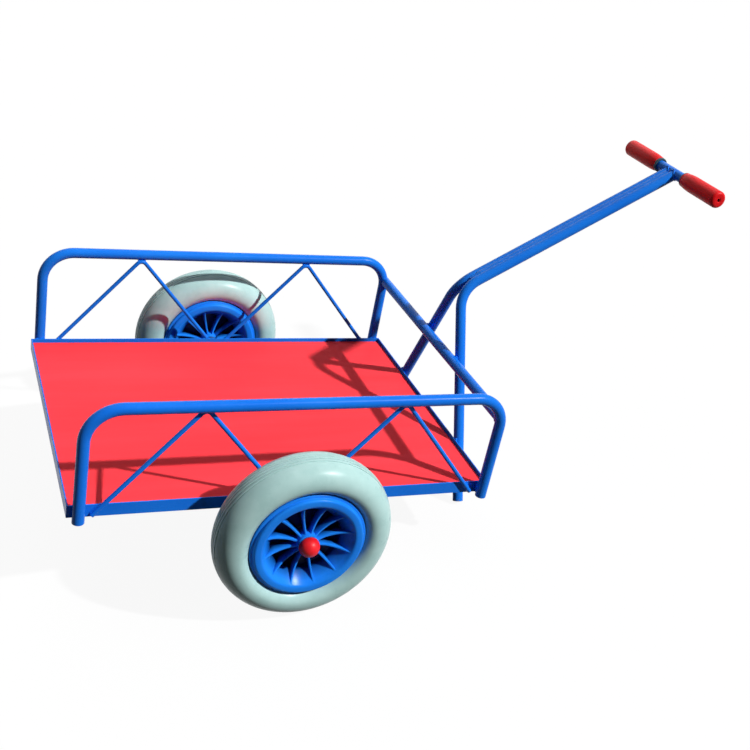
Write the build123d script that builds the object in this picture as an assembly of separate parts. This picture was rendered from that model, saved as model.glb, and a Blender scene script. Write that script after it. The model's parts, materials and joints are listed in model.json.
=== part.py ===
from build123d import *
import math
import os

# Hand cart, millimetres and degrees. It is drawn level, with X forward to the handle, Y to the left
# and Z up from the top edge of the deck frame above the axle, and is then parked nose down on its legs.

# Stock
TUBE_DIAMETER = 26.0
TUBE_WALL = 2.0
ANGLE_LEG = 30.0
ANGLE_THICKNESS = 3.0
ANGLE_EDGE_ROUND = 0.8
BRACE_DIAMETER = 10.0
AXLE_DIAMETER = 25.0

# Fits
WELD_GAP = 0.1
DECK_CLEARANCE = 1.0
RUNNING_CLEARANCE = 0.05
END_FLOAT = 0.3
SLEEVE_CLEARANCE = 0.1

# Deck frame and deck
FRAME_LENGTH = 972.0
FRAME_WIDTH = 730.0
DECK_THICKNESS = 18.0
DECK_EDGE_ROUND = 2.0
CROSS_MEMBER_SETBACK = 300.0
CROSS_MEMBER_DEPTH = 20.0

# Side hoops and their bent-rod braces
HOOP_HEIGHT = 236.0
HOOP_BEND = 75.0
HOOP_REAR_INSET = 23.0
HOOP_FRONT_INSET = 15.0
HOOP_FOOT_DROP = 3.0
BRACE_APEX_SPACING = 448.0
BRACE_FOOT_SPAN = 430.0
BRACE_FOOT_DROP = 24.0
BRACE_BEND = 14.0

# Front rail, legs, drawbar and grips
RAIL_HEIGHT = 178.0
PARK_TILT = 10.8
LEG_SPLAY = 25.8
HANDLE_BEND_HEIGHT = 336.0
HANDLE_BEND = 80.0
DRAWBAR_RISE = 32.0
DRAWBAR_LENGTH = 631.0
COPE_TRIM = 6.0
GRIP_SPAN = 396.0
GRIP_LENGTH = 144.0
GRIP_DIAMETER = 43.0
GRIP_NECK_DIAMETER = 37.0
GRIP_NECK_LENGTH = 22.0
GRIP_END_WALL = 5.0
GRIP_END_ROUND = 8.0
GRIP_VENT_DIAMETER = 9.0

# Wheels
WHEEL_CLEARANCE = 14.0
TYRE_DIAMETER = 400.0
TYRE_WIDTH = 106.0
TYRE_CREST_DIAMETER = 310.0
TREAD_WIDTH = 76.0
TREAD_GROOVES = 5
GROOVE_PITCH = 13.0
GROOVE_WIDTH = 3.0
GROOVE_DEPTH = 2.0
RIM_DIAMETER = 260.0
RIM_WIDTH = 102.0
RIM_FLANGE = 14.0
RIM_LIP_WIDTH = 7.0
RIM_LIP_STEP = 9.0
RIM_LIP_ROUND = 3.0
RIM_RING_WIDTH = 18.0
RIM_RING_ROUND = 8.0
RIM_CONE_DIAMETER = 158.0
RIM_CONE_DEPTH = 32.0
RIM_SEAT_DEPTH = 19.0
RIM_WEB = 10.0
RIB_COUNT = 12
RIB_THICKNESS = 4.5
RIB_SETBACK_AT_HUB = 6.0
RIB_SETBACK_AT_MOUTH = 10.0
RIB_DISH = 8.0
HUB_DIAMETER = 48.0
HUB_LENGTH = 80.0

# Axle furniture
COLLAR_DIAMETER = 40.0
COLLAR_LENGTH = 12.0
WASHER_DIAMETER = 44.0
WASHER_THICKNESS = 3.0
CAP_DIAMETER = 46.0
CAP_SKIRT = 3.0
CAP_HEIGHT = 26.0
CAP_SOCKET = 9.0

TUBE_RADIUS = TUBE_DIAMETER / 2
BRACE_RADIUS = BRACE_DIAMETER / 2
AXLE_RADIUS = AXLE_DIAMETER / 2
WHEEL_RADIUS = TYRE_DIAMETER / 2
FRAME_HALF_LENGTH = FRAME_LENGTH / 2
FRAME_HALF_WIDTH = FRAME_WIDTH / 2
AXLE_Z = -ANGLE_LEG - WELD_GAP - AXLE_RADIUS
HOOP_Y = FRAME_HALF_WIDTH + WELD_GAP + TUBE_RADIUS
WHEEL_Y = HOOP_Y + TUBE_RADIUS + WHEEL_CLEARANCE + TYRE_WIDTH / 2
HOOP_REAR_X = -FRAME_HALF_LENGTH + HOOP_REAR_INSET
HOOP_FRONT_X = FRAME_HALF_LENGTH - HOOP_FRONT_INSET
HOOP_MIDDLE_X = (HOOP_REAR_X + HOOP_FRONT_X) / 2
LEG_X = FRAME_HALF_LENGTH + WELD_GAP + TUBE_RADIUS
DRAWBAR_Y = TUBE_RADIUS + WELD_GAP / 2
SIDES = {"left": 1, "right": -1}
ENDS = {"front": 1, "rear": -1}


def bar(radius, points, bend_radius=None):
    """Round bar along straight runs, with every corner bent to the same centreline radius."""
    path = FilletPolyline(*points, radius=bend_radius) if bend_radius else Line(*points)
    section = Plane(origin=path @ 0, z_dir=path % 0) * Circle(radius)
    return sweep(section, path=path)


def tube(points, bend_radius=None):
    """Round tube of the cart's own stock along the same kind of path."""
    outside = bar(TUBE_RADIUS, points, bend_radius)
    return outside - bar(TUBE_RADIUS - TUBE_WALL, points, bend_radius)


def revolved(section):
    """Solid of revolution about Y from a section drawn as radius across and Y upwards."""
    return revolve(section, axis=Axis.Y)


def block(radius_from, radius_to, y_from, y_to):
    """Rectangle of a revolved section between two radii and two Y positions."""
    centre = Pos((radius_from + radius_to) / 2, (y_from + y_to) / 2)
    return centre * Rectangle(radius_to - radius_from, y_to - y_from)


def facing(side):
    """Turn about Z that brings a piece drawn for the left to its own side."""
    return 0 if side > 0 else 180


def frame_angle(length):
    """Mitred angle along X: outer face on the XZ plane, top edge at Z 0, lower flange towards -Y."""
    half = length / 2 - WELD_GAP
    inner_half = half - ANGLE_LEG
    outline = Polyline((-half, 0), (half, 0), (inner_half, -ANGLE_LEG), (-inner_half, -ANGLE_LEG), close=True)
    blank = extrude(Plane.XY.offset(-ANGLE_LEG) * make_face(outline), ANGLE_LEG)
    above_flange = Box(length, ANGLE_LEG, ANGLE_LEG, align=(Align.CENTER, Align.MAX, Align.MIN))
    angle = blank - Pos(0, -ANGLE_THICKNESS, ANGLE_THICKNESS - ANGLE_LEG) * above_flange
    return fillet(angle.edges().filter_by(Axis.X), ANGLE_EDGE_ROUND)


def frame_angles():
    """Four mitred angles round the deck, each turned to its own side of the frame."""
    angles = {}
    for name, side in SIDES.items():
        angle = Pos(0, FRAME_HALF_WIDTH, 0) * frame_angle(FRAME_LENGTH)
        angles[f"frame_angle_{name}"] = Rot(0, 0, facing(side)) * angle
    for name, end in ENDS.items():
        angle = Pos(0, FRAME_HALF_LENGTH, 0) * frame_angle(FRAME_WIDTH)
        angles[f"frame_angle_{name}"] = Rot(0, 0, -90 * end) * angle
    return angles


def cross_members():
    """Angles under the deck between the side flanges, one leg flat under the deck and one leg down."""
    length = FRAME_WIDTH - 2 * (ANGLE_LEG + WELD_GAP)
    flat = Box(ANGLE_LEG, length, ANGLE_THICKNESS, align=(Align.MAX, Align.CENTER, Align.MIN))
    upright = Box(ANGLE_THICKNESS, length, CROSS_MEMBER_DEPTH, align=(Align.MAX, Align.CENTER, Align.MAX))
    angle = Pos(0, 0, -ANGLE_LEG) * flat + Pos(0, 0, ANGLE_THICKNESS - ANGLE_LEG) * upright
    placed = Pos(FRAME_HALF_LENGTH - CROSS_MEMBER_SETBACK, 0, 0) * angle
    return {f"cross_member_{name}": Rot(0, 0, facing(end)) * placed for name, end in ENDS.items()}


def deck_panel():
    """Board that lies on the flanges, inside the upright legs of the frame."""
    margin = 2 * (ANGLE_THICKNESS + DECK_CLEARANCE)
    board = Box(
        FRAME_LENGTH - margin,
        FRAME_WIDTH - margin,
        DECK_THICKNESS,
        align=(Align.CENTER, Align.CENTER, Align.MIN),
    )
    board = fillet(board.faces().sort_by(Axis.Z)[-1].edges(), DECK_EDGE_ROUND)
    return Pos(0, 0, ANGLE_THICKNESS + WELD_GAP - ANGLE_LEG) * board


def hoop_points(y):
    """Corner points of a side hoop: foot, top, top, foot."""
    foot_z = -ANGLE_LEG - HOOP_FOOT_DROP
    return [
        (HOOP_REAR_X, y, foot_z),
        (HOOP_REAR_X, y, HOOP_HEIGHT),
        (HOOP_FRONT_X, y, HOOP_HEIGHT),
        (HOOP_FRONT_X, y, foot_z),
    ]


def brace(side, end):
    """Rod bent to an inverted V between the side flange and the underside of the hoop."""
    y = FRAME_HALF_WIDTH + WELD_GAP + BRACE_RADIUS
    apex_x = HOOP_MIDDLE_X + end * BRACE_APEX_SPACING / 2
    tube_contact = TUBE_RADIUS + BRACE_RADIUS + WELD_GAP
    bend_top_z = HOOP_HEIGHT - math.sqrt(tube_contact**2 - (HOOP_Y - y) ** 2)
    half_span = BRACE_FOOT_SPAN / 2
    half_angle = math.atan2(half_span, bend_top_z + BRACE_FOOT_DROP)
    corner_z = bend_top_z + BRACE_BEND * (1 / math.sin(half_angle) - 1)
    points = [
        (apex_x - half_span, side * y, -BRACE_FOOT_DROP),
        (apex_x, side * y, corner_z),
        (apex_x + half_span, side * y, -BRACE_FOOT_DROP),
    ]
    return bar(BRACE_RADIUS, points, BRACE_BEND)


def front_rail():
    """Rail across the front, against the legs and coped to both hoops."""
    x = LEG_X - TUBE_DIAMETER - WELD_GAP
    half = HOOP_Y - COPE_TRIM
    rail = tube([(x, -half, RAIL_HEIGHT), (x, half, RAIL_HEIGHT)])
    for side in SIDES.values():
        rail -= bar(TUBE_RADIUS + WELD_GAP, hoop_points(side * HOOP_Y), HOOP_BEND)
    return rail


def crossbar_centre():
    """Point on the middle of the handle where the drawbar's line meets the crossbar."""
    rise = math.radians(DRAWBAR_RISE)
    x = LEG_X + DRAWBAR_LENGTH * math.cos(rise)
    return Vector(x, 0, HANDLE_BEND_HEIGHT + DRAWBAR_LENGTH * math.sin(rise))


def leg_length():
    """Leg from the handle bend to a square-cut end whose lowest edge is level with the parked tyres."""
    tilt = math.radians(PARK_TILT)
    axis_down = math.cos(math.radians(LEG_SPLAY)) * math.cos(tilt)
    bend_below_axle = LEG_X * math.sin(tilt) - (HANDLE_BEND_HEIGHT - AXLE_Z) * math.cos(tilt)
    edge_below_end = TUBE_RADIUS * math.sqrt(1 - axis_down**2)
    return (WHEEL_RADIUS - bend_below_axle - edge_below_end) / axis_down


def handle_tube(side):
    """One tube that is leg, bend and half of the drawbar, coped to the crossbar."""
    splay = math.radians(LEG_SPLAY)
    rise = math.radians(DRAWBAR_RISE)
    bend = Vector(LEG_X, side * DRAWBAR_Y, HANDLE_BEND_HEIGHT)
    foot = bend + Vector(0, side * math.sin(splay), -math.cos(splay)) * leg_length()
    tip = bend + Vector(math.cos(rise), 0, math.sin(rise)) * (DRAWBAR_LENGTH - COPE_TRIM)
    cope = Cylinder(TUBE_RADIUS + WELD_GAP, GRIP_SPAN, rotation=(90, 0, 0))
    return tube([foot, bend, tip], HANDLE_BEND) - Pos(crossbar_centre()) * cope


def handle_crossbar():
    """Straight tube across the end of the drawbar, up to the end walls of the grips."""
    half = GRIP_SPAN / 2 - GRIP_END_WALL - SLEEVE_CLEARANCE
    middle = crossbar_centre()
    return tube([middle - (0, half, 0), middle + (0, half, 0)])


def grip():
    """Moulded sleeve with a tapered neck, a rounded closed end and a small vent, outer end at Y 0."""
    radius = GRIP_DIAMETER / 2
    bore = TUBE_RADIUS + SLEEVE_CLEARANCE
    vent = GRIP_VENT_DIAMETER / 2
    outline = Polyline(
        (vent, 0),
        (radius, 0),
        (radius, -GRIP_LENGTH + GRIP_NECK_LENGTH),
        (GRIP_NECK_DIAMETER / 2, -GRIP_LENGTH),
        (bore, -GRIP_LENGTH),
        (bore, -GRIP_END_WALL),
        (vent, -GRIP_END_WALL),
        close=True,
    )
    section = make_face(outline)
    outer_corner = section.vertices().sort_by_distance((radius, 0, 0))[0]
    return revolved(fillet(outer_corner, GRIP_END_ROUND))


def crown_radius(y):
    """Radius of the tyre's rounded crown at a distance from its middle plane."""
    crest = TYRE_CREST_DIAMETER / 2
    return crest + (WHEEL_RADIUS - crest) * math.sqrt(1 - (2 * y / TYRE_WIDTH) ** 2)


def tread_points():
    """Tread from the left shoulder to the right as short straight runs that drop into each groove."""
    shoulder = (crown_radius(TREAD_WIDTH / 2), TREAD_WIDTH / 2)
    points = [shoulder]
    for index in range(TREAD_GROOVES):
        y = ((TREAD_GROOVES - 1) / 2 - index) * GROOVE_PITCH
        left, right = y + GROOVE_WIDTH / 2, y - GROOVE_WIDTH / 2
        floor = min(crown_radius(left), crown_radius(right)) - GROOVE_DEPTH
        points += [(crown_radius(left), left), (floor, left), (floor, right), (crown_radius(right), right)]
    return points + [(shoulder[0], -shoulder[1])]


def tyre():
    """Solid tyre: seat between the rim flanges, round bulged walls, crowned tread with grooves round it."""
    lip = RIM_DIAMETER / 2 + WELD_GAP
    seat = lip - RIM_SEAT_DEPTH
    seat_half = RIM_WIDTH / 2 - RIM_FLANGE - WELD_GAP
    tread = tread_points()
    outline = [Line((seat, -seat_half), (seat, seat_half)), Polyline(*tread)]
    for side, shoulder in zip(SIDES.values(), (tread[0], tread[-1])):
        crest = (TYRE_CREST_DIAMETER / 2, side * TYRE_WIDTH / 2)
        bead = (lip, side * seat_half)
        outline.append(TangentArc(crest, shoulder, tangent=(1, 0)))
        outline.append(TangentArc(crest, bead, tangent=(-1, 0)))
        outline.append(Line(bead, (seat, side * seat_half)))
    return revolved(make_face(outline))


def rim():
    """Moulded rim: tyre lips, rounded rings, cones to a middle web, a hub, dished ribs on both faces."""
    half = RIM_WIDTH / 2
    edge = RIM_DIAMETER / 2
    ring = edge - RIM_LIP_WIDTH
    mouth = ring - RIM_RING_WIDTH
    hub = HUB_DIAMETER / 2
    upper = [
        (AXLE_RADIUS + RUNNING_CLEARANCE, HUB_LENGTH / 2),
        (hub, HUB_LENGTH / 2),
        (hub, RIM_WEB / 2),
        (RIM_CONE_DIAMETER / 2, RIM_WEB / 2),
        (RIM_CONE_DIAMETER / 2, half - RIM_CONE_DEPTH),
        (mouth, half),
        (ring, half),
        (ring, half - RIM_LIP_STEP),
        (edge, half - RIM_LIP_STEP),
        (edge, half - RIM_FLANGE),
        (edge - RIM_SEAT_DEPTH, half - RIM_FLANGE),
    ]
    lower = [(radius, -y) for radius, y in reversed(upper)]
    section = make_face(Polyline(*upper, *lower, close=True))
    ring_round = min(RIM_RING_ROUND, 0.9 * RIM_LIP_STEP, 0.45 * RIM_RING_WIDTH)
    lip_round = min(RIM_LIP_ROUND, 0.9 * (RIM_FLANGE - RIM_LIP_STEP), 0.9 * RIM_LIP_WIDTH)
    rounded_corners = (
        (mouth, half, ring_round),
        (ring, half, ring_round),
        (edge, half - RIM_LIP_STEP, lip_round),
    )
    for radius, y, rounding in rounded_corners:
        pair = [section.vertices().sort_by_distance((radius, side * y, 0))[0] for side in SIDES.values()]
        section = fillet(pair, rounding)
    return revolved(section) + ribs(hub, mouth - ring_round / 4)


def ribs(hub, rim_end):
    """Radial ribs from hub to cone, their outer edges dished towards the web on both faces."""
    at_hub = HUB_LENGTH / 2 - RIB_SETBACK_AT_HUB
    at_mouth = RIM_WIDTH / 2 - RIB_SETBACK_AT_MOUTH
    middle = ((hub + rim_end) / 2, (at_hub + at_mouth) / 2 - RIB_DISH)
    root = hub - RIB_THICKNESS / 2
    outline = [
        ThreePointArc((root, at_hub), middle, (rim_end, at_mouth)),
        Line((rim_end, at_mouth), (rim_end, -at_mouth)),
        ThreePointArc((rim_end, -at_mouth), (middle[0], -middle[1]), (root, -at_hub)),
        Line((root, -at_hub), (root, at_hub)),
    ]
    rib = extrude(make_face(outline), RIB_THICKNESS / 2, both=True)
    pitch = 360 / RIB_COUNT
    return [Rot(0, pitch * (index + 0.5), 0) * rib for index in range(RIB_COUNT)]


def axle_ring(diameter, length):
    """Plain ring on the axle, standing outwards from Y 0."""
    return revolved(block(AXLE_RADIUS + WELD_GAP, diameter / 2, 0, length))


def axle_cap():
    """Domed cap with a socket for the end of the axle, its skirt on Y 0."""
    radius = CAP_DIAMETER / 2
    socket = AXLE_RADIUS + SLEEVE_CLEARANCE
    dome = CAP_HEIGHT - CAP_SKIRT
    dome_radius = (radius**2 + dome**2) / (2 * dome)
    lean = math.atan2(dome, radius)
    on_dome = (dome_radius * math.sin(lean), CAP_HEIGHT - dome_radius * (1 - math.cos(lean)))
    outline = [
        Line((socket, 0), (radius, 0)),
        Line((radius, 0), (radius, CAP_SKIRT)),
        ThreePointArc((radius, CAP_SKIRT), on_dome, (0, CAP_HEIGHT)),
        Line((0, CAP_HEIGHT), (0, CAP_SOCKET)),
        Line((0, CAP_SOCKET), (socket, CAP_SOCKET)),
        Line((socket, CAP_SOCKET), (socket, 0)),
    ]
    return revolved(make_face(outline))


def wheel_side(name, side):
    """Everything on one end of the axle, drawn for the left and turned about Z for the right."""
    hub_inner_y = WHEEL_Y - HUB_LENGTH / 2
    washer_y = WHEEL_Y + HUB_LENGTH / 2 + END_FLOAT
    cap_y = washer_y + WASHER_THICKNESS + WELD_GAP
    collar_y = hub_inner_y - END_FLOAT - COLLAR_LENGTH
    stations = {
        "axle_collar": (collar_y, axle_ring(COLLAR_DIAMETER, COLLAR_LENGTH)),
        "rim": (WHEEL_Y, rim()),
        "tyre": (WHEEL_Y, tyre()),
        "axle_washer": (washer_y, axle_ring(WASHER_DIAMETER, WASHER_THICKNESS)),
        "axle_cap": (cap_y, axle_cap()),
    }
    turn = Rot(0, 0, facing(side))
    return {f"{piece}_{name}": turn * Pos(0, y, AXLE_Z) * shape for piece, (y, shape) in stations.items()}


def axle():
    """Straight bar under the side angles, reaching into both caps."""
    cap_y = WHEEL_Y + HUB_LENGTH / 2 + END_FLOAT + WASHER_THICKNESS + WELD_GAP
    length = 2 * (cap_y + CAP_SOCKET - WELD_GAP)
    return Pos(0, 0, AXLE_Z) * Cylinder(AXLE_RADIUS, length, rotation=(90, 0, 0))


def level_cart():
    """All pieces of the cart by node name, with the deck level."""
    pieces = frame_angles() | cross_members()
    pieces["deck_panel"] = deck_panel()
    for name, side in SIDES.items():
        pieces[f"side_hoop_{name}"] = tube(hoop_points(side * HOOP_Y), HOOP_BEND)
        for end_name, end in ENDS.items():
            pieces[f"brace_{name}_{end_name}"] = brace(side, end)
        pieces[f"handle_tube_{name}"] = handle_tube(side)
        grip_end = crossbar_centre() + (0, side * GRIP_SPAN / 2, 0)
        pieces[f"grip_{name}"] = Pos(grip_end) * Rot(0, 0, facing(side)) * grip()
        pieces |= wheel_side(name, side)
    pieces["front_rail"] = front_rail()
    pieces["handle_crossbar"] = handle_crossbar()
    pieces["axle"] = axle()
    return pieces


def parked(pieces):
    """The cart tipped about its axle onto its legs, with the origin under the middle of its box."""
    tip = Rot(0, PARK_TILT, 0) * Pos(0, 0, -AXLE_Z)
    tipped = {node: tip * shape for node, shape in pieces.items()}
    box = Compound(list(tipped.values())).bounding_box()
    place = Pos(-box.center().X, -box.center().Y, -box.min.Z)
    return {node: place * shape for node, shape in tipped.items()}


os.makedirs("parts", exist_ok=True)
for node, shape in parked(level_cart()).items():
    export_step(shape, f"parts/{node}.step")
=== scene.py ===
import json
import math

import bmesh
import bpy
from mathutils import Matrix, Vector


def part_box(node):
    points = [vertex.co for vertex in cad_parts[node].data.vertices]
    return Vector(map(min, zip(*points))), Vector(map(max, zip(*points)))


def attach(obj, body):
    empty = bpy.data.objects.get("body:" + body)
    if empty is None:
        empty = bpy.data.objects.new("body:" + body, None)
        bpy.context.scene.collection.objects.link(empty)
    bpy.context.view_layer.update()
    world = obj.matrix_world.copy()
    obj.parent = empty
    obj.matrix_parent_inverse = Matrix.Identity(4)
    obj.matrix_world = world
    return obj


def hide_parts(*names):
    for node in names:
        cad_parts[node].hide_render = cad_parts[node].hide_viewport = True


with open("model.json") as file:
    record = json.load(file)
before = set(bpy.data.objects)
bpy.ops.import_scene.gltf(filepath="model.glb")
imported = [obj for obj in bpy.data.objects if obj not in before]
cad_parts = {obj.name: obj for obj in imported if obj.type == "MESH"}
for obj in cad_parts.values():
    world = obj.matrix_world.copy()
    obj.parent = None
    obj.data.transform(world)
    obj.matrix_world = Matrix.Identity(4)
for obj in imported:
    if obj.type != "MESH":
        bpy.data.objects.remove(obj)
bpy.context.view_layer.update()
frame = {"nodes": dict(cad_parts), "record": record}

# Camera and lights, metres and degrees
CAMERA_PLACE = (-0.84835, -2.21593, 1.72481)
CAMERA_TURN = (58.372, -0.3705, -20.4726)
CAMERA_LENS = 52.27
CAMERA_SENSOR = 36.0
SUN_FROM = (0.643, -0.485, 0.592)
SUN_STRENGTH = 4.1
SUN_SOFTNESS = 1.8
SKY_FILL_FROM = (0.05, 0.22, 0.97)
SKY_FILL_STRENGTH = 0.62
SKY_FILL_SOFTNESS = 50.0
BACK_FILL_FROM = (0.10, 0.95, 0.30)
BACK_FILL_STRENGTH = 0.7
BACK_FILL_SOFTNESS = 60.0
WORLD_FILL = 0.012
FLOOR_HALF = 12.0
FLOOR_ALBEDO = 0.07
FLOOR_GLOW = 0.93

# Range of a noise pattern that the finishes spread between two tones
NOISE_LOW = 0.3
NOISE_HIGH = 0.7

# Modelling: metres, radians, segments, and degrees for the shading
SAME_PLACE = 0.00001
STARTING_PLANE = 0.002
SQUARE_EDGE = 1.2
WIDE_ROUNDING = 0.005
WIDE_SEGMENTS = 6
CORNER_SEGMENTS = 3
EASED_SEGMENTS = 2
SHADING_ANGLE = 35.0

# The parked cart, metres: a level cart turned nose down about its axle
AXLE_X = -0.348052
AXLE_HEIGHT = 0.200
AXLE_BELOW_FRAME = 0.0426
PARK_TILT = math.radians(10.8)
WHEEL_Y = 0.4581
WHEEL_CENTRE = Vector((AXLE_X, WHEEL_Y, AXLE_HEIGHT))

# Tyre, metres
TYRE_CREST_RADIUS = 0.155
TYRE_CROWN = 0.045
TYRE_WALL_SHARE = 0.757
TYRE_HALF_WIDTH = 0.053
TYRE_SECTION_POINTS = 72
TYRE_STEPS = 168
TREAD_GROOVES = (-0.016, -0.008, 0.0, 0.008, 0.016)
GROOVE_HALF_WIDTH = 0.0012
GROOVE_DEPTH = 0.0018
GROOVE_EASING = 0.0004
GROOVE_EDGE = math.radians(55)

# Rim section from the tyre seat round to the hub bore: radius, distance from the middle, corner rounding
RIM_FACE = (
    (0.1110, 0.0370, 0.0),
    (0.1300, 0.0370, 0.0008),
    (0.1300, 0.0420, 0.0030),
    (0.1230, 0.0420, 0.0012),
    (0.1230, 0.0510, 0.0054),
    (0.1050, 0.0510, 0.0040),
    (0.0790, 0.0190, 0.0040),
    (0.0775, 0.0050, 0.0030),
    (0.0250, 0.0050, 0.0030),
    (0.0240, 0.0400, 0.0015),
    (0.01255, 0.0400, 0.0006),
)
RIM_STEPS = 144
RIB_COUNT = 12
RIB_HALF_THICKNESS = 0.00225
RIB_ROOT = 0.0220
RIB_END = 0.1040
RIB_AT_HUB = 0.034
RIB_AT_MOUTH = 0.048
RIB_DISH = 0.010
RIB_STATIONS = 14
RIB_EASING = 0.0011
RIB_END_EDGE = 0.03

# Painted shade in the rim's recess, metres: full below one depth, none above the other, and less out along
# the cone
PAINTED_SHADE_DEEP = 0.012
PAINTED_SHADE_SHALLOW = 0.029
PAINTED_SHADE_CONE_FOOT = 0.07
PAINTED_SHADE_CONE_MOUTH = 0.10
PAINTED_SHADE_CONE_SHIFT = 0.014

# Axle cap, metres
CAP_SEGMENTS = 56
CAP_RINGS = 28
CAP_SOCKET_SHARE = 0.55
CAP_SOCKET_DEPTH = 0.009
CAP_FOOT = 0.001
CAP_EASING = 0.0008

# Grip section from the vent round to the bore: radius, distance in from the outer end, corner rounding
GRIP_FACE = (
    (0.0045, 0.0, 0.0014),
    (0.0215, 0.0, 0.0078),
    (0.0215, 0.1190, 0.0120),
    (0.0190, 0.1360, 0.0020),
    (0.0180, 0.1368, 0.0004),
    (0.0180, 0.1384, 0.0004),
    (0.0188, 0.1392, 0.0006),
    (0.0185, 0.1440, 0.0012),
    (0.0131, 0.1440, 0.0004),
    (0.0131, 0.0050, 0.0),
    (0.0045, 0.0050, 0.0),
)
GRIP_STEPS = 72
GRIP_COLLAR_Y = 0.0585
GRIP_COLLAR_EDGE = 0.0003

# The level cart that the welds are laid out on, millimetres and radians
TUBE_RADIUS = 13.0
HOOP_Y = 378.1
HOOP_REAR_X = -463.0
HOOP_FRONT_X = 471.0
HOOP_HEIGHT = 236.0
HOOP_BEND = 75.0
FRAME_HALF_LENGTH = 486.0
FRAME_HALF_WIDTH = 365.0
ANGLE_LEG = 30.0
BRACE_APEXES = (-220.0, 228.0)
BRACE_HALF_SPAN = 215.0
BRACE_DROP = 24.0
BRACE_TOP = 224.0
RAIL_X = 473.0
RAIL_HEIGHT = 178.0
LEG_X = 499.1
LEG_SPLAY = math.radians(25.8)
HANDLE_BEND_HEIGHT = 336.0
DRAWBAR_Y = 13.05
DRAWBAR_RISE = math.radians(32.0)
DRAWBAR_LENGTH = 631.0

# Weld beads on the level cart: bead radii in metres, pitches and places in millimetres
FOOT_BEAD = 0.0027
BRACE_BEAD = 0.0019
RAIL_BEAD = 0.0024
HANDLE_BEAD = 0.0026
DROP_SEGMENTS = 10
DROP_RINGS = 6
BEAD_VOXEL_SHARE = 0.3
BEAD_SMOOTHING = 0.5
BEAD_SMOOTHING_ROUNDS = 2
BEAD_SHADING_ANGLE = 80.0
FOOT_PITCH = 2.6
BRACE_PITCH = 1.9
FOOT_WELD_HEIGHTS = (-28.0, -2.0)
BESIDE_TUBE = (-8.2, 8.2)
OFF_FACE = 1.6
BRACE_OFF_FACE = 1.3
BESIDE_BRACE = 4.5
BRACE_WELD_RUN = (2.0, 30.0)
# Dabs at a brace's apex: half length, distance from the cart's middle, drop below the apex
APEX_DABS = ((9.0, 371.8, 1.2), (7.0, 374.6, 2.4))
SADDLE_STEPS = 30
SADDLE_RADIUS = 13.4
SADDLE_MARGIN = 1.5
SADDLE_SINK = 0.8
RAIL_RING_RADIUS = 8.6
AXLE_WELD_RUN = (338.0, 362.0)
CROSS_MEMBER_WELD_RUN = (158.0, 181.0)
CROSS_MEMBER_OFF_FACE = 0.4
HANDLE_COPE = 13.2
HANDLE_SINK = 0.4

# Fill of the groove along the drawbar: places in millimetres, section in metres
SEAM_HEIGHT = 9.1
SEAM_START = 35.0
SEAM_END_GAP = 15.0
SEAM_SIDES = 24
SEAM_RADIUS = 0.0100
SEAM_FLATTENING = 0.33
SEAM_RIPPLES = 90
SEAM_RIPPLE_HEIGHT = 0.0002
SEAM_FADE_RINGS = 8
SEAM_FADE_SHARE = 0.8


def srgb(red, green, blue):
    """Linear colour of three display values from 0 to 255."""
    steps = [value / 255 for value in (red, green, blue)]
    return tuple(s / 12.92 if s <= 0.04045 else ((s + 0.055) / 1.055) ** 2.4 for s in steps) + (1.0,)


class Finish:
    """One material's node tree, with short words for the nodes that the finishes share."""

    def __init__(self, name):
        self.material = bpy.data.materials.new(name)
        self.material.use_nodes = True
        self.tree = self.material.node_tree
        self.shader = self.tree.nodes["Principled BSDF"]
        self.place = self.add("ShaderNodeTexCoord").outputs["Object"]

    def add(self, kind, links=(), **values):
        node = self.tree.nodes.new(kind)
        for key, value in values.items():
            setattr(node, key, value)
        for socket, source in dict(links).items():
            self.feed(node.inputs[socket], source)
        return node

    def feed(self, socket, source):
        if isinstance(source, bpy.types.NodeSocket):
            self.tree.links.new(source, socket)
        else:
            socket.default_value = source

    def noise(self, scale, detail=2.0, roughness=0.5, place=None):
        links = {"Vector": place or self.place, "Scale": scale, "Detail": detail, "Roughness": roughness}
        return self.add("ShaderNodeTexNoise", links).outputs["Fac"]

    def streaks(self, along, across, detail, roughness):
        """Noise drawn out lengthwise, by its scale along and across the cart."""
        links = {"Vector": self.place, "Scale": (along, across, along)}
        place = self.add("ShaderNodeMapping", links).outputs["Vector"]
        return self.noise(1.0, detail, roughness, place)

    def from_point(self, point):
        """The three distances from a point."""
        moved = self.add("ShaderNodeVectorMath", {0: self.place, 1: point}, operation="SUBTRACT")
        return self.add("ShaderNodeSeparateXYZ", {"Vector": moved.outputs["Vector"]}).outputs

    def remap(self, value, low, high, to_low=0.0, to_high=1.0):
        links = {"Value": value, "From Min": low, "From Max": high, "To Min": to_low, "To Max": to_high}
        return self.add("ShaderNodeMapRange", links).outputs["Result"]

    def between(self, pattern, low, high):
        """A value that follows a noise pattern from low to high."""
        return self.remap(pattern, NOISE_LOW, NOISE_HIGH, low, high)

    def calculate(self, how, first, second=0.0):
        return self.add("ShaderNodeMath", {0: first, 1: second}, operation=how).outputs[0]

    def blend(self, share, under, over):
        node = self.add("ShaderNodeMix", data_type="RGBA")
        for index, source in ((0, share), (6, under), (7, over)):
            self.feed(node.inputs[index], source)
        return node.outputs[2]

    def tones(self, pattern, under, over):
        """A colour that follows a noise pattern from one tone to the other."""
        return self.blend(self.between(pattern, 0.0, 1.0), under, over)

    def bump(self, height, strength, depth=0.0003):
        links = {"Height": height, "Strength": strength, "Distance": depth}
        self.feed(self.shader.inputs["Normal"], self.add("ShaderNodeBump", links).outputs["Normal"])

    def set(self, **sockets):
        for name, value in sockets.items():
            self.feed(self.shader.inputs[name.replace("_", " ")], value)
        return self.material


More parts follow.
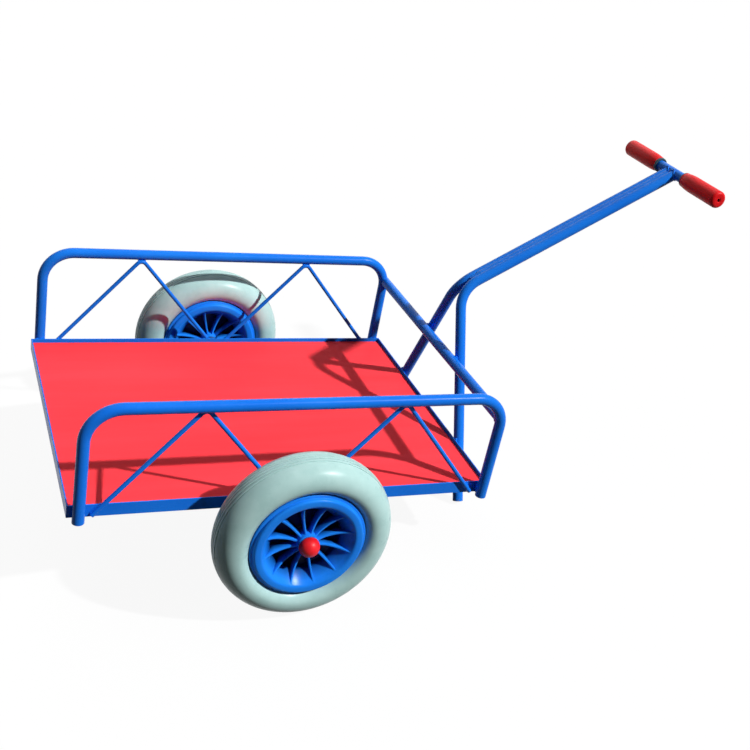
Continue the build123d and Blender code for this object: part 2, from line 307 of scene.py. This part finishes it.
def blue_enamel():
    """Gloss enamel on steel: slight tone drift, orange peel, dusty dulling and scuffed feet."""
    finish = Finish("blue_enamel")
    colour = finish.tones(finish.noise(5.0, detail=3.0), srgb(18, 111, 223), srgb(28, 125, 235))
    above_floor = finish.from_point((0, 0, 0))["Z"]
    low_end = finish.remap(above_floor, 0.0, 0.03, to_low=0.5, to_high=0.0)
    wear = finish.calculate("ADD", finish.noise(260.0, detail=4.0), low_end)
    colour = finish.blend(finish.remap(wear, 0.86, 0.95), colour, srgb(120, 124, 130))
    finish.bump(finish.noise(240.0, detail=1.0), strength=0.03)
    dulling = finish.remap(finish.noise(38.0, detail=4.0), 0.35, 0.7, to_low=0.23, to_high=0.32)
    return finish.set(Base_Color=colour, Roughness=dulling, Specular_IOR_Level=0.08)


def red_deck_paint():
    """Red paint over a plywood face: grain telegraphing through, faint drag marks."""
    finish = Finish("red_deck_paint")
    grain = finish.streaks(7.0, 160.0, detail=6.0, roughness=0.6)
    figure = finish.streaks(1.6, 14.0, detail=3.0, roughness=0.5)
    colour = finish.tones(figure, srgb(254, 61, 70), srgb(255, 69, 79))
    drag = finish.streaks(3.0, 300.0, detail=5.0, roughness=0.7)
    drag_marks = finish.remap(drag, 0.66, 0.78, to_low=0.0, to_high=0.3)
    colour = finish.blend(drag_marks, colour, srgb(232, 54, 62))
    finish.bump(grain, strength=0.15, depth=0.0005)
    roughness = finish.between(grain, 0.5, 0.62)
    return finish.set(Base_Color=colour, Roughness=roughness, Specular_IOR_Level=0.03)


def grey_tyre_rubber():
    """Foam rubber in pale grey green: soft mottling and moulding dust."""
    finish = Finish("grey_tyre_rubber")
    mottle = finish.noise(26.0, detail=5.0, roughness=0.6)
    colour = finish.tones(mottle, srgb(166, 202, 199), srgb(180, 213, 210))
    finish.bump(finish.noise(700.0), strength=0.08)
    roughness = finish.between(mottle, 0.25, 0.32)
    return finish.set(Base_Color=colour, Roughness=roughness, Specular_IOR_Level=0.13)


def blue_rim_plastic():
    """Moulded blue plastic: faint flow lines, satin gloss, and painted shade darkening the depth of the
    recess.
    """
    finish = Finish("blue_rim_plastic")
    flow = finish.noise(14.0, detail=3.0)
    colour = finish.tones(flow, srgb(24, 126, 238), srgb(34, 138, 248))
    # Painted shade: the colour darkens to navy deeper in the recess, where the ring and ribs cast shade
    off_axle = finish.from_point((AXLE_X, 0, AXLE_HEIGHT))
    upright = finish.add("ShaderNodeCombineXYZ", {"X": off_axle["X"], "Z": off_axle["Z"]}).outputs["Vector"]
    radius = finish.add("ShaderNodeVectorMath", {0: upright}, operation="LENGTH").outputs["Value"]
    beside_wheel = finish.calculate("SUBTRACT", finish.calculate("ABSOLUTE", off_axle["Y"]), WHEEL_Y)
    off_middle = finish.calculate("ABSOLUTE", beside_wheel)
    shift = finish.remap(radius, PAINTED_SHADE_CONE_FOOT, PAINTED_SHADE_CONE_MOUTH, to_low=0.0, to_high=PAINTED_SHADE_CONE_SHIFT)
    depth = finish.calculate("SUBTRACT", off_middle, shift)
    painted_shade = finish.remap(depth, PAINTED_SHADE_DEEP, PAINTED_SHADE_SHALLOW, to_low=1.0, to_high=0.0)
    colour = finish.blend(painted_shade, colour, srgb(2, 26, 74))
    finish.bump(finish.noise(420.0), strength=0.05)
    roughness = finish.between(flow, 0.22, 0.30)
    return finish.set(Base_Color=colour, Roughness=roughness, Specular_IOR_Level=0.08)


def red_cap_plastic():
    """Glossy red moulding of the axle caps."""
    finish = Finish("red_cap_plastic")
    flow = finish.noise(40.0, detail=3.0)
    colour = finish.tones(flow, srgb(226, 26, 36), srgb(240, 38, 48))
    finish.bump(finish.noise(500.0), strength=0.05)
    roughness = finish.between(flow, 0.34, 0.44)
    return finish.set(Base_Color=colour, Roughness=roughness, Specular_IOR_Level=0.2)


def red_grip_plastic():
    """Soft red moulding of the grips, with a fine leathery skin and a dark grey collar."""
    finish = Finish("red_grip_plastic")
    flow = finish.noise(30.0, detail=4.0)
    colour = finish.tones(flow, srgb(222, 12, 20), srgb(238, 22, 30))
    from_middle = finish.calculate("ABSOLUTE", finish.from_point((0, 0, 0))["Y"])
    collar_edge = GRIP_COLLAR_Y + GRIP_COLLAR_EDGE
    collar = finish.remap(from_middle, GRIP_COLLAR_Y, collar_edge, to_low=1.0, to_high=0.0)
    colour = finish.blend(collar, colour, srgb(58, 82, 94))
    finish.bump(finish.noise(700.0, detail=3.0), strength=0.2, depth=0.0004)
    roughness = finish.between(flow, 0.38, 0.5)
    return finish.set(Base_Color=colour, Roughness=roughness, Specular_IOR_Level=0.16)


def axle_steel():
    """Zinc-bright turned steel with fine rings."""
    finish = Finish("axle_steel")
    rings = finish.streaks(40.0, 900.0, detail=3.0, roughness=0.6)
    colour = finish.tones(rings, srgb(150, 153, 158), srgb(184, 187, 190))
    finish.bump(rings, strength=0.08)
    return finish.set(Base_Color=colour, Metallic=1.0, Roughness=finish.between(rings, 0.28, 0.42))


MATERIALS = {
    "blue_paint": blue_enamel(),
    "deck_red": red_deck_paint(),
    "axle_steel": axle_steel(),
    "cap_red": red_cap_plastic(),
    "grip_red": red_grip_plastic(),
    "rim_blue": blue_rim_plastic(),
    "tyre_grey": grey_tyre_rubber(),
}
for subpart in frame["record"]["subparts"]:
    slots = frame["nodes"][subpart["node"]].data.materials
    slots.clear()
    slots.append(MATERIALS[subpart["material_slot"]])


def lay_down():
    """Object mode, with nothing held."""
    if bpy.context.mode != "OBJECT":
        bpy.ops.object.mode_set(mode="OBJECT")
    bpy.ops.object.select_all(action="DESELECT")


def hold(piece):
    """Object mode, with this piece alone in hand."""
    lay_down()
    piece.select_set(True)
    bpy.context.view_layer.objects.active = piece
    return piece


def open_up():
    """Opens the piece in hand for editing, with all of it selected."""
    bpy.ops.object.mode_set(mode="EDIT")
    bpy.ops.mesh.select_all(action="SELECT")


def settle():
    """Puts the place, turn and size of the piece in hand into its mesh."""
    bpy.ops.object.transform_apply(location=True, rotation=True, scale=True)


def begin(add_primitive, **size):
    """A primitive at its size and place, opened for editing."""
    lay_down()
    add_primitive(**size)
    settle()
    open_up()
    return bpy.context.object


def pick(kind, wanted):
    """Selects only those vertices, edges or faces of the open piece that are wanted."""
    bpy.ops.mesh.select_mode(type={"verts": "VERT", "edges": "EDGE", "faces": "FACE"}[kind])
    bpy.ops.mesh.select_all(action="DESELECT")
    mesh = bmesh.from_edit_mesh(bpy.context.object.data)
    for item in getattr(mesh, kind):
        if wanted(item):
            item.select_set(True)
    mesh.select_flush_mode()
    bmesh.update_edit_mesh(bpy.context.object.data)


def pull(step):
    """Extrudes what is selected by a step."""
    bpy.ops.mesh.extrude_region_move(TRANSFORM_OT_translate={"value": tuple(step)})


def ease_edges(easing):
    """Takes the selected edges off by a small bevel."""
    bpy.ops.mesh.bevel(offset=easing, segments=EASED_SEGMENTS, affect="EDGES")


def merge_all():
    """Selects the whole open piece and merges vertices that share a place."""
    bpy.ops.mesh.select_mode(type="VERT")
    bpy.ops.mesh.select_all(action="SELECT")
    bpy.ops.mesh.remove_doubles(threshold=SAME_PLACE)


def close_up():
    """Merges the open piece's seams and turns its faces outwards."""
    merge_all()
    bpy.ops.mesh.normals_make_consistent(inside=False)


def draw_outline(places):
    """A closed line through the places, drawn vertex by vertex from a plane merged to its middle."""
    piece = begin(bpy.ops.mesh.primitive_plane_add, size=STARTING_PLANE, location=places[0])
    bpy.ops.mesh.merge(type="CENTER")
    for here, there in zip(places, places[1:] + places[:1]):
        pull(there - here)
    merge_all()
    return piece


def spin_round(steps, centre):
    """Turns the open section once round a line along Y through the centre."""
    bpy.ops.mesh.select_mode(type="VERT")
    bpy.ops.mesh.select_all(action="SELECT")
    bpy.ops.mesh.spin(steps=steps, angle=2 * math.pi, center=centre, axis=(0, 1, 0))
    close_up()


def round_corner(place, rounding):
    """Rounds one corner of the open line."""
    pick("verts", lambda vertex: (vertex.co - place).length < SAME_PLACE)
    segments = WIDE_SEGMENTS if rounding > WIDE_ROUNDING else CORNER_SEGMENTS
    bpy.ops.mesh.bevel(offset=rounding, segments=segments, affect="VERTICES")


def turned(corners, centre, steps):
    """A section of radius, distance along Y and rounding at each corner, spun round the centre."""
    places = [centre + Vector((radius, along, 0)) for radius, along, _ in corners]
    piece = draw_outline(places)
    for place, (_, _, rounding) in zip(places, corners):
        if rounding:
            round_corner(place, rounding)
    spin_round(steps, centre)
    return piece


def apply_modifier(piece, kind, **settings):
    """Adds a modifier with its settings and applies it."""
    modifier = hold(piece).modifiers.new(kind.lower(), kind)
    for name, value in settings.items():
        setattr(modifier, name, value)
    bpy.ops.object.modifier_apply(modifier=modifier.name)


def fit(piece, name, slot, body, *nodes, smooth=SHADING_ANGLE):
    """Names and finishes a piece, sets it on its body and lets it stand for its CAD nodes."""
    hold(piece)
    bpy.ops.object.shade_smooth_by_angle(angle=math.radians(smooth))
    piece.name = name
    piece.data.name = name
    piece.data.materials.clear()
    piece.data.materials.append(MATERIALS[slot])
    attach(piece, body)
    if nodes:
        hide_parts(*nodes)


def copy_across(piece, turn_over=False):
    """A copy with its own mesh on the right side: moved over, or turned over if it has an outer end."""
    hold(piece)
    bpy.ops.object.duplicate()
    twin = bpy.context.object
    open_up()
    if turn_over:
        bpy.ops.transform.resize(value=(1, -1, 1), center_override=(0, 0, 0))
        bpy.ops.mesh.normals_make_consistent(inside=False)
    else:
        bpy.ops.transform.translate(value=(0, -2 * WHEEL_Y, 0))
    lay_down()
    return twin


def from_axle(place):
    """Distance of a point from the axle's line."""
    return math.hypot(place.x - AXLE_X, place.z - AXLE_HEIGHT)


def tyre():
    """Bulged section from a circle, spun round the axle, with grooves pressed into the tread."""
    crest = WHEEL_CENTRE + Vector((TYRE_CREST_RADIUS, 0, 0))
    piece = begin(
        bpy.ops.mesh.primitive_circle_add,
        vertices=TYRE_SECTION_POINTS,
        radius=TYRE_CROWN,
        location=crest,
    )
    bpy.ops.transform.resize(value=(1, TYRE_HALF_WIDTH / TYRE_CROWN, 1), center_override=crest)
    pick("verts", lambda vertex: vertex.co.x < crest.x - SAME_PLACE)
    bpy.ops.transform.resize(value=(TYRE_WALL_SHARE, 1, 1), center_override=crest)
    spin_round(TYRE_STEPS, WHEEL_CENTRE)
    for groove in TREAD_GROOVES:
        for edge in (-GROOVE_HALF_WIDTH, GROOVE_HALF_WIDTH):
            bpy.ops.mesh.select_all(action="SELECT")
            bpy.ops.mesh.bisect(plane_co=(0, WHEEL_Y + groove + edge, 0), plane_no=(0, 1, 0))

    def in_groove(face):
        middle = face.calc_center_median()
        beside = min(abs(middle.y - WHEEL_Y - groove) for groove in TREAD_GROOVES)
        return beside < GROOVE_HALF_WIDTH and from_axle(middle) > TYRE_CREST_RADIUS

    pick("faces", in_groove)
    bpy.ops.mesh.extrude_region_shrink_fatten(TRANSFORM_OT_shrink_fatten={"value": -GROOVE_DEPTH})
    bpy.ops.mesh.select_all(action="DESELECT")
    bpy.ops.mesh.select_mode(type="EDGE")
    bpy.ops.mesh.edges_select_sharp(sharpness=GROOVE_EDGE)
    ease_edges(GROOVE_EASING)
    close_up()
    return piece


def along_rib(edge):
    """Square edges of a rib, without the long ones that end inside the hub and the cone."""
    run_across = abs(edge.verts[0].co.y - edge.verts[1].co.y)
    return edge.calc_face_angle(0) > SQUARE_EDGE and run_across < RIB_END_EDGE


def ribs():
    """One rib with dished edges, thickened, eased along its edges and repeated round the hub."""
    dished_edge = []
    for station in range(RIB_STATIONS + 1):
        along = station / RIB_STATIONS
        dish = RIB_DISH * (1 - (2 * along - 1) ** 2)
        height = RIB_AT_HUB + (RIB_AT_MOUTH - RIB_AT_HUB) * along - dish
        dished_edge.append((RIB_ROOT + (RIB_END - RIB_ROOT) * along, height))
    outline = dished_edge + [(radius, -height) for radius, height in reversed(dished_edge)]
    piece = draw_outline([WHEEL_CENTRE + Vector((radius, y, -RIB_HALF_THICKNESS)) for radius, y in outline])
    bpy.ops.mesh.edge_face_add()
    pull((0, 0, 2 * RIB_HALF_THICKNESS))
    close_up()
    pick("edges", along_rib)
    ease_edges(RIB_EASING)
    bpy.ops.mesh.select_all(action="SELECT")
    pitch = 2 * math.pi / RIB_COUNT
    bpy.ops.transform.rotate(value=pitch / 2 - PARK_TILT, orient_axis="Y", center_override=WHEEL_CENTRE)
    bpy.ops.mesh.spin(
        steps=RIB_COUNT - 1,
        angle=2 * math.pi - pitch,
        center=WHEEL_CENTRE,
        axis=(0, 1, 0),
        dupli=True,
    )
    close_up()
    lay_down()
    return piece


def rim():
    """Flanges, cones, web and hub as one turned body, with the ribs joined into it."""
    other_face = tuple((radius, -y, rounding) for radius, y, rounding in reversed(RIM_FACE))
    body = turned(RIM_FACE + other_face, WHEEL_CENTRE, RIM_STEPS)
    fins = ribs()
    apply_modifier(body, "BOOLEAN", operation="UNION", solver="EXACT", object=fins)
    bpy.data.objects.remove(fins)
    open_up()
    close_up()
    lay_down()
    return body


def axle_cap():
    """Half of a ball on a short skirt, with a socket for the end of the axle."""
    low, high = (Vector(corner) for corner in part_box("axle_cap_left"))
    base = Vector((AXLE_X, low.y, AXLE_HEIGHT))
    radius = (high.z - low.z) / 2
    skirt = Vector((0, high.y - low.y - radius, 0))
    middle = base + skirt
    piece = begin(
        bpy.ops.mesh.primitive_uv_sphere_add,
        segments=CAP_SEGMENTS,
        ring_count=CAP_RINGS,
        radius=radius,
        location=middle,
        rotation=(math.pi / 2, 0, 0),
    )
    bpy.ops.mesh.bisect(plane_co=middle, plane_no=(0, 1, 0), clear_inner=True)
    pick("edges", lambda edge: edge.is_boundary)
    pull(-skirt)
    pull((0, 0, 0))
    bpy.ops.transform.resize(value=(CAP_SOCKET_SHARE, 1, CAP_SOCKET_SHARE), center_override=base)
    pull((0, CAP_SOCKET_DEPTH, 0))
    bpy.ops.mesh.edge_face_add()
    close_up()

    def at_foot(edge):
        return edge.calc_face_angle(0) > SQUARE_EDGE and edge.verts[0].co.y < low.y + CAP_FOOT

    pick("edges", at_foot)
    ease_edges(CAP_EASING)
    close_up()
    return piece


def grip():
    """Sleeve turned about the crossbar: vent, rounded end, barrel, tapered neck and collar."""
    low, high = (Vector(corner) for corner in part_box("grip_left"))
    end = Vector(((low.x + high.x) / 2, high.y, (low.z + high.z) / 2))
    corners = [(radius, -inwards, rounding) for radius, inwards, rounding in GRIP_FACE]
    return turned(corners, end, GRIP_STEPS)


def parked(place):
    """Place in the parked cart of a point given in millimetres on the level cart."""
    along = place.x / 1000
    above = place.z / 1000 + AXLE_BELOW_FRAME
    turned_x = along * math.cos(PARK_TILT) + above * math.sin(PARK_TILT)
    turned_z = above * math.cos(PARK_TILT) - along * math.sin(PARK_TILT)
    return Vector((AXLE_X + turned_x, place.y / 1000, AXLE_HEIGHT + turned_z))


def full_turn():
    """Angles once round a saddle weld, with the first again at the end."""
    return [2 * math.pi * index / SADDLE_STEPS for index in range(SADDLE_STEPS + 1)]


def seam(start, end, pitch):
    """Evenly spaced points of a straight weld, on the level cart."""
    start, end = Vector(start), Vector(end)
    count = max(1, round((end - start).length / pitch))
    return [start.lerp(end, index / count) for index in range(count + 1)]


def weld_beads(name, seams, radius):
    """Drops laid along the seams and melted into one rippled skin."""
    places = [parked(place) for points in seams for place in points]
    piece = begin(
        bpy.ops.mesh.primitive_uv_sphere_add,
        segments=DROP_SEGMENTS,
        ring_count=DROP_RINGS,
        radius=radius,
        location=places[0],
    )
    for here, there in zip(places, places[1:]):
        bpy.ops.mesh.duplicate_move(TRANSFORM_OT_translate={"value": tuple(there - here)})
    apply_modifier(piece, "REMESH", mode="VOXEL", voxel_size=radius * BEAD_VOXEL_SHARE)
    apply_modifier(piece, "SMOOTH", factor=BEAD_SMOOTHING, iterations=BEAD_SMOOTHING_ROUNDS)
    fit(piece, name, "blue_paint", "chassis", smooth=BEAD_SHADING_ANGLE)


def hoop_foot_seams():
    """Two upright welds beside each hoop foot on the outer face of the side angles."""
    for side in (1, -1):
        y = side * (FRAME_HALF_WIDTH + OFF_FACE)
        for x in (HOOP_REAR_X, HOOP_FRONT_X):
            for beside in BESIDE_TUBE:
                ends = [(x + beside, y, z) for z in FOOT_WELD_HEIGHTS]
                yield seam(*ends, FOOT_PITCH)


def brace_seams():
    """Welds along both sides of each brace foot and two dabs at each apex under the hoop."""
    run = Vector((BRACE_HALF_SPAN, 0, BRACE_TOP + BRACE_DROP)).normalized()
    for side in (1, -1):
        y = side * (FRAME_HALF_WIDTH + BRACE_OFF_FACE)
        for apex in BRACE_APEXES:
            for lean in (1, -1):
                foot = Vector((apex - lean * BRACE_HALF_SPAN, y, -BRACE_DROP))
                up = Vector((lean * run.x, 0, run.z))
                across = Vector((run.z, 0, -lean * run.x)) * BESIDE_BRACE
                for beside in (-1, 1):
                    ends = [foot + up * reach + across * beside for reach in BRACE_WELD_RUN]
                    yield seam(*ends, BRACE_PITCH)
            for half_length, dab_y, drop in APEX_DABS:
                start = (apex - half_length, side * dab_y, BRACE_TOP - drop)
                end = (apex + half_length, side * dab_y, BRACE_TOP - drop)
                yield seam(start, end, BRACE_PITCH)


def hoop_front_x(z):
    """Middle of the hoop's front post, or of its bend, at a height."""
    above = z - (HOOP_HEIGHT - HOOP_BEND)
    return HOOP_FRONT_X - (HOOP_BEND - math.sqrt(HOOP_BEND**2 - above**2) if above > 0 else 0)


def leg_y(z):
    """Middle of the left leg at a height."""
    return DRAWBAR_Y + (HANDLE_BEND_HEIGHT - z) * math.tan(LEG_SPLAY)


def rail_seams():
    """Saddle welds round both ends of the rail, and a ring where it crosses each leg."""
    for side in (1, -1):
        saddle = []
        for turn in full_turn():
            x = RAIL_X + SADDLE_RADIUS * math.cos(turn)
            z = RAIL_HEIGHT + SADDLE_RADIUS * math.sin(turn)
            beside = x - hoop_front_x(z)
            if abs(beside) < TUBE_RADIUS - SADDLE_MARGIN:
                reach = math.sqrt(SADDLE_RADIUS**2 - beside**2)
                saddle.append(Vector((x, side * (HOOP_Y - reach - SADDLE_SINK), z)))
        yield saddle
        ring = []
        for turn in full_turn()[::2]:
            y = leg_y(RAIL_HEIGHT) + RAIL_RING_RADIUS * math.cos(turn)
            z = RAIL_HEIGHT + RAIL_RING_RADIUS * math.sin(turn)
            ring.append(Vector((FRAME_HALF_LENGTH, side * y, z)))
        yield ring


def leg_seams():
    """Welds along both sides of each leg on the front angle."""
    x = FRAME_HALF_LENGTH + OFF_FACE
    for side in (1, -1):
        for beside in BESIDE_TUBE:
            ends = []
            for z in FOOT_WELD_HEIGHTS:
                y = leg_y(z) + beside * math.cos(LEG_SPLAY)
                ends.append((x, side * y, z + beside * math.sin(LEG_SPLAY)))
            yield seam(*ends, FOOT_PITCH)


def under_deck_seams():
    """Welds of the axle under the side flanges and of the cross members between them."""
    for side in (1, -1):
        for beside in BESIDE_TUBE:
            ends = [(beside, side * y, -ANGLE_LEG - OFF_FACE) for y in AXLE_WELD_RUN]
            yield seam(*ends, FOOT_PITCH)
        for end in (1, -1):
            y = side * (FRAME_HALF_WIDTH - ANGLE_LEG)
            ends = [(end * x, y, -ANGLE_LEG - CROSS_MEMBER_OFF_FACE) for x in CROSS_MEMBER_WELD_RUN]
            yield seam(*ends, FOOT_PITCH)


def drawbar_lines():
    """Foot of the drawbar at its bend, and the directions along it and up from it, on the level cart."""
    foot = Vector((LEG_X, 0, HANDLE_BEND_HEIGHT))
    rise = Vector((math.cos(DRAWBAR_RISE), 0, math.sin(DRAWBAR_RISE)))
    up = Vector((-math.sin(DRAWBAR_RISE), 0, math.cos(DRAWBAR_RISE)))
    return foot, rise, up


def handle_seams():
    """Saddle welds where the drawbar's two tubes meet the crossbar."""
    foot, rise, up = drawbar_lines()
    for side in (1, -1):
        tube_end = foot + rise * DRAWBAR_LENGTH + Vector((0, side * DRAWBAR_Y, 0))
        saddle = []
        for turn in full_turn():
            around = Vector((0, math.cos(turn), 0)) + up * math.sin(turn)
            reach = HANDLE_COPE * abs(math.cos(turn)) + HANDLE_SINK
            saddle.append(tube_end + around * TUBE_RADIUS - rise * reach)
        yield saddle


def drawbar_seam_welds():
    """Flat rippled beads that fill the groove between the drawbar's two tubes, above and below."""
    foot, rise, up = drawbar_lines()
    start = parked(foot + up * SEAM_HEIGHT + rise * SEAM_START)
    end = parked(foot + up * SEAM_HEIGHT + rise * (DRAWBAR_LENGTH - SEAM_END_GAP))
    start_below = parked(foot - up * SEAM_HEIGHT + rise * SEAM_START)
    along = (end - start).normalized()
    length = (end - start).length
    pitch = length / (2 * SEAM_RIPPLES)
    piece = begin(
        bpy.ops.mesh.primitive_cylinder_add,
        vertices=SEAM_SIDES,
        radius=SEAM_RADIUS,
        depth=length,
    )
    bpy.ops.transform.resize(value=(SEAM_FLATTENING, 1, 1), center_override=(0, 0, 0))
    pick("edges", lambda edge: edge.calc_length() > length / 2)
    bpy.ops.mesh.subdivide(number_cuts=2 * SEAM_RIPPLES - 1)
    pick("verts", lambda vertex: round(vertex.co.z / pitch) % 2 == 1)
    bpy.ops.transform.shrink_fatten(value=SEAM_RIPPLE_HEIGHT)
    for ring in range(SEAM_FADE_RINGS):
        pick("verts", lambda vertex: vertex.co.z < pitch * (ring + 0.5) - length / 2)
        bpy.ops.transform.resize(value=(SEAM_FADE_SHARE, SEAM_FADE_SHARE, 1), center_override=(0, 0, 0))
    bpy.ops.object.mode_set(mode="OBJECT")
    piece.rotation_euler = (0, math.acos(along.z), 0)
    piece.location = (start + end) / 2
    settle()
    open_up()
    bpy.ops.mesh.duplicate_move(TRANSFORM_OT_translate={"value": tuple(start_below - start)})
    close_up()
    fit(piece, "drawbar_seam_welds", "blue_paint", "chassis", smooth=BEAD_SHADING_ANGLE)


def model_pieces():
    """Wheels, caps and grips in place of their CAD nodes, and the welds of the frame."""
    makers = (
        (tyre, "tyre", "tyre_grey", False),
        (rim, "rim", "rim_blue", False),
        (axle_cap, "axle_cap", "cap_red", True),
        (grip, "grip", "grip_red", True),
    )
    for make, node, slot, has_outer_end in makers:
        left = make()
        right = copy_across(left, turn_over=has_outer_end)
        for piece, side in ((left, "left"), (right, "right")):
            body = f"{side}_wheel" if node in ("tyre", "rim") else "chassis"
            fit(piece, f"{node}_{side}_form", slot, body, f"{node}_{side}")
    welds = (
        ("hoop_foot_welds", hoop_foot_seams, FOOT_BEAD),
        ("brace_welds", brace_seams, BRACE_BEAD),
        ("rail_welds", rail_seams, RAIL_BEAD),
        ("leg_welds", leg_seams, FOOT_BEAD),
        ("under_deck_welds", under_deck_seams, FOOT_BEAD),
        ("handle_welds", handle_seams, HANDLE_BEAD),
    )
    for name, seams, radius in welds:
        weld_beads(name, seams(), radius)
    drawbar_seam_welds()


model_pieces()


def seen_directly(tree):
    """1 for a ray that shows the background to the eye, straight or in a reflection, and 0 for light."""
    path = tree.nodes.new("ShaderNodeLightPath")
    shown = path.outputs["Is Camera Ray"]
    for name in ("Is Glossy Ray", "Is Transmission Ray"):
        either = tree.nodes.new("ShaderNodeMath")
        either.operation = "MAXIMUM"
        tree.links.new(shown, either.inputs[0])
        tree.links.new(path.outputs[name], either.inputs[1])
        shown = either.outputs[0]
    return shown


def white_world():
    """Even white surroundings that look white and light softly."""
    world = bpy.data.worlds.new("studio")
    bpy.context.scene.world = world
    world.use_nodes = True
    tree = world.node_tree
    strength = tree.nodes.new("ShaderNodeMapRange")
    strength.inputs["To Min"].default_value = WORLD_FILL
    strength.inputs["To Max"].default_value = 1.0
    tree.links.new(seen_directly(tree), strength.inputs["Value"])
    background = tree.nodes["Background"]
    background.inputs["Color"].default_value = (1, 1, 1, 1)
    tree.links.new(strength.outputs["Result"], background.inputs["Strength"])


def white_floor():
    """Wide pale floor that keeps the cart's shadow."""
    lay_down()
    bpy.ops.mesh.primitive_plane_add(size=2 * FLOOR_HALF, location=(0, 0, 0))
    floor = bpy.context.object
    floor.name = "floor"
    material = bpy.data.materials.new("floor_white")
    material.use_nodes = True
    tree = material.node_tree
    matt = tree.nodes["Principled BSDF"]
    matt.inputs["Base Color"].default_value = (FLOOR_ALBEDO, FLOOR_ALBEDO, FLOOR_ALBEDO, 1)
    matt.inputs["Roughness"].default_value = 1.0
    matt.inputs["Specular IOR Level"].default_value = 0.0
    glow = tree.nodes.new("ShaderNodeMapRange")
    glow.inputs["To Max"].default_value = FLOOR_GLOW
    tree.links.new(seen_directly(tree), glow.inputs["Value"])
    matt.inputs["Emission Color"].default_value = (1, 1, 1, 1)
    tree.links.new(glow.outputs["Result"], matt.inputs["Emission Strength"])
    floor.data.materials.append(material)


def studio_light(name, comes_from, strength, softness):
    """A soft light from far away."""
    lamp = bpy.data.lights.new(name, "SUN")
    lamp.energy = strength
    lamp.angle = math.radians(softness)
    holder = bpy.data.objects.new(name, lamp)
    holder.rotation_euler = Vector(comes_from).to_track_quat("Z", "Y").to_euler()
    bpy.context.scene.collection.objects.link(holder)


def photo_camera():
    """Camera where the photograph was taken from."""
    lens = bpy.data.cameras.new("camera")
    lens.lens = CAMERA_LENS
    lens.sensor_width = CAMERA_SENSOR
    holder = bpy.data.objects.new("camera", lens)
    holder.location = CAMERA_PLACE
    holder.rotation_euler = [math.radians(turn) for turn in CAMERA_TURN]
    bpy.context.scene.collection.objects.link(holder)
    bpy.context.scene.camera = holder


white_world()
white_floor()
studio_light("key", SUN_FROM, SUN_STRENGTH, SUN_SOFTNESS)
studio_light("sky_fill", SKY_FILL_FROM, SKY_FILL_STRENGTH, SKY_FILL_SOFTNESS)
studio_light("back_fill", BACK_FILL_FROM, BACK_FILL_STRENGTH, BACK_FILL_SOFTNESS)
photo_camera()
bpy.context.scene.view_settings.view_transform = "Standard"
